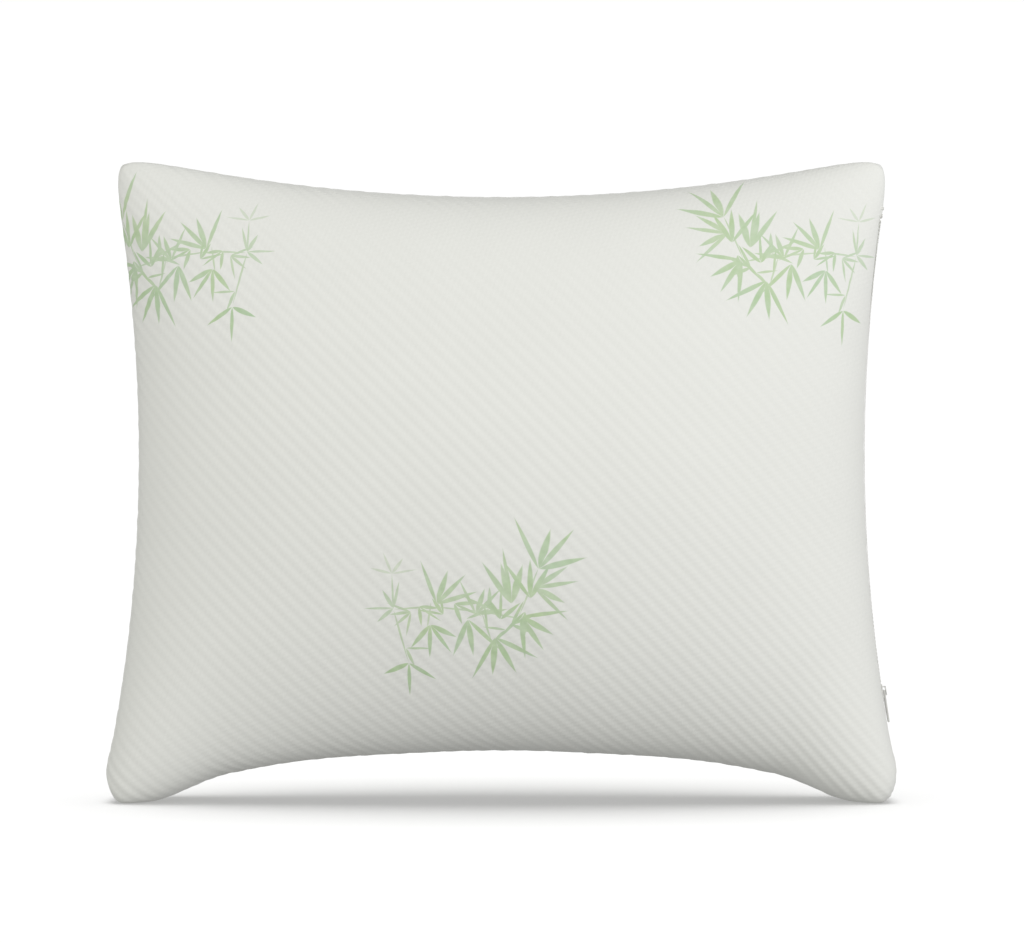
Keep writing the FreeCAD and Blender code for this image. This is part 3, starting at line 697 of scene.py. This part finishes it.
relief = add_node(
    tree, "ShaderNodeBump", None, {"Height": known["height"], "Strength": 1.0, "Distance": 1.0 * MM}
)
surface = add_node(
    tree, "ShaderNodeBsdfPrincipled", None,
    {
        "Base Color": colour.outputs[2], "Roughness": 0.9, "IOR": 1.5,
        "Sheen Weight": 0.12, "Sheen Roughness": 0.5, "Normal": relief.outputs["Normal"],
    },
)
tree.links.new(surface.outputs["BSDF"], output.inputs["Surface"])

for side_name, (facing, outer, inner, flat) in panels.items():
    cover = make_piece(
        f"cover_{side_name}", *shell_of(facing, outer, inner), knit, record_slot="cover_knit", cloth=flat
    )
    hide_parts(f"cover_{side_name}_panel")

# ---- Zip tapes ----
# A pair of narrow woven polyester tapes sewn behind the edges of the opening. Each has a row of lock
# stitches beside the slot, and a bar of close stitches across each end of it.

TAPE_UNDER, TAPE_WALL, TAPE_NEAR, TAPE_WIDTH = 1.8, 0.7, 0.8, 13.0
TAPE_LOW, TAPE_HIGH, TAPE_COLUMNS, TAPE_ROWS = 68.8, 453.6, 14, 130
STITCH_LINE, STITCH_PITCH, STITCH_LENGTH, THREAD_RADIUS, THREAD_SIDES = 6.95, 3.0, 2.5, 0.24, 6
STITCH_BOW, STITCH_SINK, STITCH_LEAN = 2.4, 0.6, 0.6  # in thread radii, and as a share of both
TACK_HALF, TACK_LENGTH, TACK_PASSES, TACK_POINTS, TACK_PROUD = 7.0, 1.8, 9, 12, 0.8


def side_points(side, depth, height, lift):
    """Points beside the left (-1) or right (1) seam, so far in front of it (negative) or behind it.

    lift is how far they stand off the cover's face. Halving finds the share across, and a few
    corrections the share up, that have this depth and height."""
    depth, height = np.broadcast_arrays(np.asarray(depth, float), np.asarray(height, float))
    margins = (-lift, -lift, 0.0)
    half_height, corrections = FULL_HEIGHT / 2, 8
    up = (height - half_height) / half_height
    for _ in range(corrections):
        across = across_at(np.abs(depth), up, margins)
        points = pillow_points(FRONT, across, up, margins)
        up = up + (height - points[..., 2]) / half_height
    return np.stack([side * points[..., 0], depth, points[..., 2]], axis=-1)


def tubes(paths, radius, sides, away):
    """Points and faces of round tubes with closed ends, one along each of a batch of paths.

    Each ring is a circle across the path's direction, set out from a vector that points away from
    the surface."""
    batch, steps = paths.shape[:2]
    run = np.gradient(paths, axis=1)
    run /= np.linalg.norm(run, axis=-1, keepdims=True)
    first = away - run * np.sum(away * run, axis=-1, keepdims=True)
    first /= np.linalg.norm(first, axis=-1, keepdims=True)
    second = np.cross(run, first)
    angle = np.linspace(0, 2 * np.pi, sides, endpoint=False)[:, None]
    ring = first[:, :, None] * np.cos(angle) + second[:, :, None] * np.sin(angle)
    points = paths[:, :, None] + radius * ring
    number = np.arange(batch * steps * sides).reshape(batch, steps, sides)
    turned = np.roll(number, -1, axis=2)
    quads = [number[:, :-1], turned[:, :-1], turned[:, 1:], number[:, 1:]]
    quads = np.stack(quads, axis=-1).reshape(-1, 4)
    ends = np.concatenate([number[:, 0, ::-1], number[:, -1]])
    return points.reshape(-1, 3), (quads, ends)


# Woven polyester tape: firm, with fine cross ribs 1 mm apart, slightly glossier than the knit. The wave
# texture has 20 radians to the unit, hence the 20 in its scale.
tape_cloth, tree, output = new_material("herringbone_polyester_tape")
place = add_node(tree, "ShaderNodeTexCoord").outputs["Object"]
ribs = add_node(
    tree, "ShaderNodeTexWave", {"bands_direction": "Z"},
    {"Vector": place, "Scale": 2 * math.pi / (20 * 1.0 * MM), "Distortion": 0.3},
)
relief = add_node(
    tree, "ShaderNodeBump", None, {"Height": ribs.outputs["Fac"], "Strength": 0.6, "Distance": 0.12 * MM}
)
tint = add_node(
    tree, "ShaderNodeMix", {"data_type": "RGBA"},
    {0: ribs.outputs["Fac"], 6: linear("#D9DAD3"), 7: linear("#E9EAE4")},
)
surface = add_node(
    tree, "ShaderNodeBsdfPrincipled", None,
    {"Base Color": tint.outputs[2], "Roughness": 0.65, "IOR": 1.54, "Normal": relief.outputs["Normal"]},
)
tree.links.new(surface.outputs["BSDF"], output.inputs["Surface"])

tape_depths = np.linspace(TAPE_NEAR, TAPE_WIDTH, TAPE_COLUMNS)[:, None]
tape_heights = np.linspace(TAPE_LOW, TAPE_HIGH, TAPE_ROWS)[None, :]
stitch_starts = np.arange(ZIP_LOW + 1, ZIP_HIGH - STITCH_PITCH, STITCH_PITCH)
along_stitch = np.linspace(0, 1, 6)
outwards = np.array([1.0, 0.0, 0.0])
for side_name, facing in (("front", FRONT), ("back", BACK)):
    outer = side_points(1, facing * tape_depths, tape_heights, -TAPE_UNDER)
    inner = side_points(1, facing * tape_depths, tape_heights, -TAPE_UNDER - TAPE_WALL)
    shell = closed_shell(inner, outer) if facing == FRONT else closed_shell(outer, inner)
    tape = make_piece(f"zip_tape_{side_name}", *shell, tape_cloth, record_slot="zip_tape")
    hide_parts(f"zipper_tape_{side_name}")

    heights = stitch_starts[:, None] + STITCH_LENGTH * along_stitch
    bow = THREAD_RADIUS * (STITCH_BOW * np.sin(np.pi * along_stitch) - STITCH_SINK)
    paths = side_points(1, facing * STITCH_LINE, heights, 0.0)
    paths = paths + bow[:, None] * (outwards + [0, facing, 0]) * STITCH_LEAN
    stitching = make_piece(
        f"zip_stitching_{side_name}", *tubes(paths, THREAD_RADIUS, THREAD_SIDES, outwards), thread,
        record_slot="thread",
    )
    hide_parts(f"zipper_stitching_{side_name}")

tack_paths = []
for low in (ZIP_LOW - 2 * TACK_LENGTH, ZIP_HIGH + TACK_LENGTH):
    pass_depths = np.linspace(-TACK_HALF, TACK_HALF, TACK_POINTS)
    zigzag = np.concatenate([pass_depths[:: 1 if k % 2 == 0 else -1] for k in range(TACK_PASSES)])
    heights = low + TACK_LENGTH * np.linspace(0, 1, len(zigzag))
    tack_paths.append(side_points(1, zigzag, heights, THREAD_RADIUS * TACK_PROUD))
bar_tacks = make_piece(
    "zip_bar_tacks", *tubes(np.array(tack_paths), THREAD_RADIUS, THREAD_SIDES, outwards), thread,
    record_slot="thread",
)
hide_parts("zipper_bar_tacks")

# ---- Zip chain ----
# Two nylon monofilament coils, one sewn to each tape, which mesh along the middle of the opening. Pressed
# metal stops at both ends keep the slider on.

COIL_LOW, COIL_HIGH = 78.1, 444.4
COIL_PITCH, WIRE_RADIUS, WIRE_SIDES, TURN_POINTS = 1.4, 0.32, 6, 10
COIL_OUTER, COIL_REACH, COIL_DEPTH, COIL_HALF_DEPTH = 2.9, 0.15, 1.0, 0.34

# Nylon 6 monofilament, heat-set to a coil: milky white, smooth and faintly translucent.
nylon, tree, output = new_material("nylon_monofilament")
place = add_node(tree, "ShaderNodeTexCoord").outputs["Object"]
cloud = add_node(tree, "ShaderNodeTexNoise", None, {"Vector": place, "Scale": 1 / (3 * MM), "Detail": 2.0})
tint = add_node(
    tree, "ShaderNodeMix", {"data_type": "RGBA"},
    {0: cloud.outputs["Fac"], 6: linear("#E2E2DC"), 7: linear("#F1F1EC")},
)
scuffs = add_node(
    tree, "ShaderNodeMapRange", None, {"Value": cloud.outputs["Fac"], "To Min": 0.28, "To Max": 0.42}
)
surface = add_node(
    tree, "ShaderNodeBsdfPrincipled", None,
    {
        "Base Color": tint.outputs[2], "Roughness": scuffs.outputs["Result"], "IOR": 1.53,
        "Subsurface Weight": 0.15, "Subsurface Radius": (1.0, 1.0, 1.0), "Subsurface Scale": 0.4 * MM,
    },
)
tree.links.new(surface.outputs["BSDF"], output.inputs["Surface"])

turns = int((COIL_HIGH - COIL_LOW - 2 * WIRE_RADIUS) / COIL_PITCH)
for side_name, facing in (("front", FRONT), ("back", BACK)):
    turned = np.linspace(0, turns, turns * TURN_POINTS + 1)
    offset = 0.0 if facing == FRONT else COIL_PITCH / 2
    heights = COIL_LOW + WIRE_RADIUS + offset / 2 + COIL_PITCH * turned
    half_width = (COIL_OUTER - COIL_REACH) / 2 - WIRE_RADIUS
    middle_depth = (COIL_OUTER + COIL_REACH) / 2
    depth = facing * (middle_depth + half_width * np.cos(2 * np.pi * turned))
    base = side_points(1, 0.0, heights, 0.0)
    round_turn = np.stack([COIL_HALF_DEPTH * np.sin(2 * np.pi * turned), depth, 0 * turned], axis=-1)
    path = base + round_turn - [COIL_DEPTH, 0, 0]
    away = np.stack([np.sin(2 * np.pi * turned), facing * np.cos(2 * np.pi * turned), 0 * turned], axis=-1)
    coil = make_piece(
        f"zip_coil_{side_name}", *tubes(path[None], WIRE_RADIUS, WIRE_SIDES, away[None]), nylon,
        record_slot="zip_nylon",
    )
    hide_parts(f"zipper_coil_{side_name}")

# ---- Slider, pull and stops ----
# Die-cast zinc slider with two plates, a post and a bridge, and a flat pull tab that hangs in the bridge.
# All are barrel-finished, which rounds their edges, and lacquered white to match the cover.

EDGE_ROUNDING, ROUNDING_SEGMENTS = 0.28, 3
FLAT_WITHIN, SHARP_OVER = 2, 30  # degrees between faces that are one, and that meet at an edge

# Zinc alloy, die cast and lacquered: smooth, satin white, with a faint orange peel and patches of wear.
lacquered_zinc, tree, output = new_material("lacquered_zinc")
place = add_node(tree, "ShaderNodeTexCoord").outputs["Object"]
orange_peel = add_node(
    tree, "ShaderNodeTexNoise", None, {"Vector": place, "Scale": 1 / (0.6 * MM), "Detail": 2.0}
)
relief = add_node(
    tree, "ShaderNodeBump", None,
    {"Height": orange_peel.outputs["Fac"], "Strength": 0.3, "Distance": 0.03 * MM},
)
patch = add_node(tree, "ShaderNodeTexNoise", None, {"Vector": place, "Scale": 1 / (4 * MM), "Detail": 4.0})
tint = add_node(
    tree, "ShaderNodeMix", {"data_type": "RGBA"},
    {0: patch.outputs["Fac"], 6: linear("#D6D6D0"), 7: linear("#E6E6E1")},
)
gloss = add_node(
    tree, "ShaderNodeMapRange", None, {"Value": patch.outputs["Fac"], "To Min": 0.25, "To Max": 0.4}
)
surface = add_node(
    tree, "ShaderNodeBsdfPrincipled", None,
    {
        "Base Color": tint.outputs[2], "Roughness": gloss.outputs["Result"], "IOR": 1.5,
        "Coat Weight": 0.4, "Coat Roughness": 0.15, "Normal": relief.outputs["Normal"],
    },
)
tree.links.new(surface.outputs["BSDF"], output.inputs["Surface"])

for node_name, name, body in (
    ("zipper_slider_body", "slider_casting", "slider"),
    ("zipper_pull_tab", "pull_tab", "pull"),
    ("zipper_bottom_stop", "bottom_stop", "pillow"),
    ("zipper_top_stop_front", "top_stop_front", "pillow"),
    ("zipper_top_stop_back", "top_stop_back", "pillow"),
):
    mesh, work = merged_copy(node_name)
    bmesh.ops.dissolve_limit(
        work, angle_limit=math.radians(FLAT_WITHIN), verts=work.verts, edges=work.edges
    )
    sharp = [
        edge for edge in work.edges
        if edge.is_manifold and edge.calc_face_angle(0) > math.radians(SHARP_OVER)
    ]
    bmesh.ops.bevel(
        work, geom=sharp, offset=EDGE_ROUNDING * MM, offset_type="OFFSET", segments=ROUNDING_SEGMENTS,
        profile=0.5, affect="EDGES", clamp_overlap=True,
    )
    for face in work.faces:
        face.smooth = True
    work.to_mesh(mesh)
    work.free()
    casting = place_piece(name, mesh, lacquered_zinc, body)
    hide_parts(node_name)

# ---- Care label ----
# A blank satin-woven ribbon caught in the left seam and folded flat against the back panel. Its cut end
# is heat-sealed and curls up a little.

LABEL_LOW, LABEL_WIDTH, LABEL_NEAR, LABEL_REACH = 130.0, 32.0, 0.6, 34.0
LABEL_LIFT, LABEL_WALL, LABEL_CURL, CURL_POWER = 0.4, 0.3, 2.2, 4
CURL_WAY = np.array([-0.75, 0.66, 0.0])
LABEL_COLUMNS, LABEL_ROWS = 26, 24

# Polyester satin ribbon: smooth, brighter than the knit, with a soft sheen along its fine ribs.
ribbon, tree, output = new_material("satin_ribbon")
place = add_node(tree, "ShaderNodeTexCoord").outputs["Object"]
ribs = add_node(
    tree, "ShaderNodeTexWave", {"bands_direction": "Z"},
    {"Vector": place, "Scale": 2 * math.pi / (20 * 0.8 * MM)},
)
relief = add_node(
    tree, "ShaderNodeBump", None, {"Height": ribs.outputs["Fac"], "Strength": 0.4, "Distance": 0.04 * MM}
)
tint = add_node(
    tree, "ShaderNodeMix", {"data_type": "RGBA"},
    {0: ribs.outputs["Fac"], 6: linear("#EDEDE8"), 7: linear("#F6F6F2")},
)
surface = add_node(
    tree, "ShaderNodeBsdfPrincipled", None,
    {
        "Base Color": tint.outputs[2], "Roughness": 0.42, "IOR": 1.54, "Sheen Weight": 0.2,
        "Normal": relief.outputs["Normal"],
    },
)
tree.links.new(surface.outputs["BSDF"], output.inputs["Surface"])

label_depths = np.linspace(LABEL_NEAR, LABEL_REACH, LABEL_COLUMNS)[:, None]
label_heights = LABEL_LOW + np.linspace(0, LABEL_WIDTH, LABEL_ROWS)[None, :]
label_inner = side_points(-1, label_depths, label_heights, LABEL_LIFT)
label_outer = side_points(-1, label_depths, label_heights, LABEL_LIFT + LABEL_WALL)
toward_end = ((label_depths - LABEL_NEAR) / (LABEL_REACH - LABEL_NEAR))[..., None]
curl = LABEL_CURL * toward_end**CURL_POWER * CURL_WAY
label = make_piece(
    "blank_label", *closed_shell(label_inner + curl, label_outer + curl), ribbon, body="label",
    record_slot="label_ribbon",
)
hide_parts("care_label")

# ---- Stand, light and camera ----
# A plain white floor, even soft light from all round, a softbox at each side of a level camera, which
# stands square to the front, and one behind the pillow.

# Sizes and places here are in metres, the lens and its sensor in millimetres.
FLOOR_HALF = 2.6
CAMERA_PLACE, CAMERA_LENS, SENSOR_WIDTH = (0.008, -1.96, 0.252), 90.0, 36.0
PILLOW_MIDDLE = (0.0, 0.0, 0.25)
LIGHT_ALL_ROUND, WHITE_BACKDROP = 0.365, 1.02
SOFTBOX_SIDE, RIGHT_POWER, LEFT_POWER, REAR_POWER = 1.2, 34.0, 26.5, 36.0
COOL_WHITE, NEUTRAL_WHITE = (0.95, 0.945, 0.97), (1.0, 0.995, 0.98)
WASH_STRENGTH, WASH_ANGLE, FLOOR_GLOW = 2.3, 44, 0.2

floor_mesh = bpy.data.meshes.new("floor")
floor_corners = [(x * FLOOR_HALF, y * FLOOR_HALF, 0) for x, y in ((-1, -1), (1, -1), (1, 1), (-1, 1))]
floor_mesh.from_pydata(floor_corners, [], [(0, 1, 2, 3)])
floor = bpy.data.objects.new("floor", floor_mesh)
bpy.context.scene.collection.objects.link(floor)
floor_paint, tree, output = new_material("matt_white_floor")
surface = add_node(
    tree, "ShaderNodeBsdfPrincipled", None,
    {
        "Base Color": linear("#E4E4E4"), "Roughness": 1.0,
        "Emission Color": (1, 1, 1, 1), "Emission Strength": FLOOR_GLOW,
    },
)
tree.links.new(surface.outputs["BSDF"], output.inputs["Surface"])
floor_mesh.materials.append(floor_paint)
# The floor's own light and its shadow stay off the pillow, and the room's light comes up through it.
floor_paint.cycles.emission_sampling = "NONE"
floor.visible_diffuse = floor.visible_shadow = False

world = bpy.data.worlds.new("white_room")
bpy.context.scene.world = world
world.use_nodes = True
tree = world.node_tree
tree.nodes.clear()
seen = add_node(tree, "ShaderNodeLightPath").outputs["Is Camera Ray"]
glow = add_node(
    tree, "ShaderNodeMapRange", None, {"Value": seen, "To Min": LIGHT_ALL_ROUND, "To Max": WHITE_BACKDROP}
)
room = add_node(
    tree, "ShaderNodeBackground", None, {"Color": (1, 1, 1, 1), "Strength": glow.outputs["Result"]}
)
add_node(tree, "ShaderNodeOutputWorld", None, {"Surface": room.outputs[0]})

# The softboxes light the pillow alone. A soft light straight down that only the floor takes keeps it white
# round the pillow's shadow.
only_floor = bpy.data.collections.new("only_floor")
all_but_floor = bpy.data.collections.new("all_but_floor")
only_floor.objects.link(floor)
all_but_floor.objects.link(floor)
all_but_floor.collection_objects[0].light_linking.link_state = "EXCLUDE"

for name, place, power, colour in (
    ("right_softbox", (2.0, -1.3, 0.9), RIGHT_POWER, COOL_WHITE),
    ("left_softbox", (-1.2, -2.0, 0.9), LEFT_POWER, NEUTRAL_WHITE),
    ("rear_softbox", (-0.7, 2.2, 1.0), REAR_POWER, NEUTRAL_WHITE),
):
    light = bpy.data.lights.new(name, "AREA")
    light.shape, light.size = "SQUARE", SOFTBOX_SIDE
    light.energy, light.color = power, colour
    lamp = bpy.data.objects.new(name, light)
    lamp.location = place
    direction = mathutils.Vector(PILLOW_MIDDLE) - mathutils.Vector(place)
    lamp.rotation_euler = direction.to_track_quat("-Z", "Y").to_euler()
    lamp.visible_camera = False
    lamp.light_linking.receiver_collection = all_but_floor
    bpy.context.scene.collection.objects.link(lamp)

wash = bpy.data.lights.new("floor_wash", "SUN")
wash.energy, wash.angle = WASH_STRENGTH, math.radians(WASH_ANGLE)
wash_lamp = bpy.data.objects.new("floor_wash", wash)
bpy.context.scene.collection.objects.link(wash_lamp)
wash_lamp.light_linking.receiver_collection = only_floor

camera_data = bpy.data.cameras.new("camera")
camera_data.lens, camera_data.sensor_width = CAMERA_LENS, SENSOR_WIDTH
camera = bpy.data.objects.new("camera", camera_data)
camera.location = CAMERA_PLACE
camera.rotation_euler = (math.radians(90), 0, 0)
bpy.context.scene.collection.objects.link(camera)
bpy.context.scene.camera = camera
bpy.context.scene.view_settings.view_transform = "Standard"
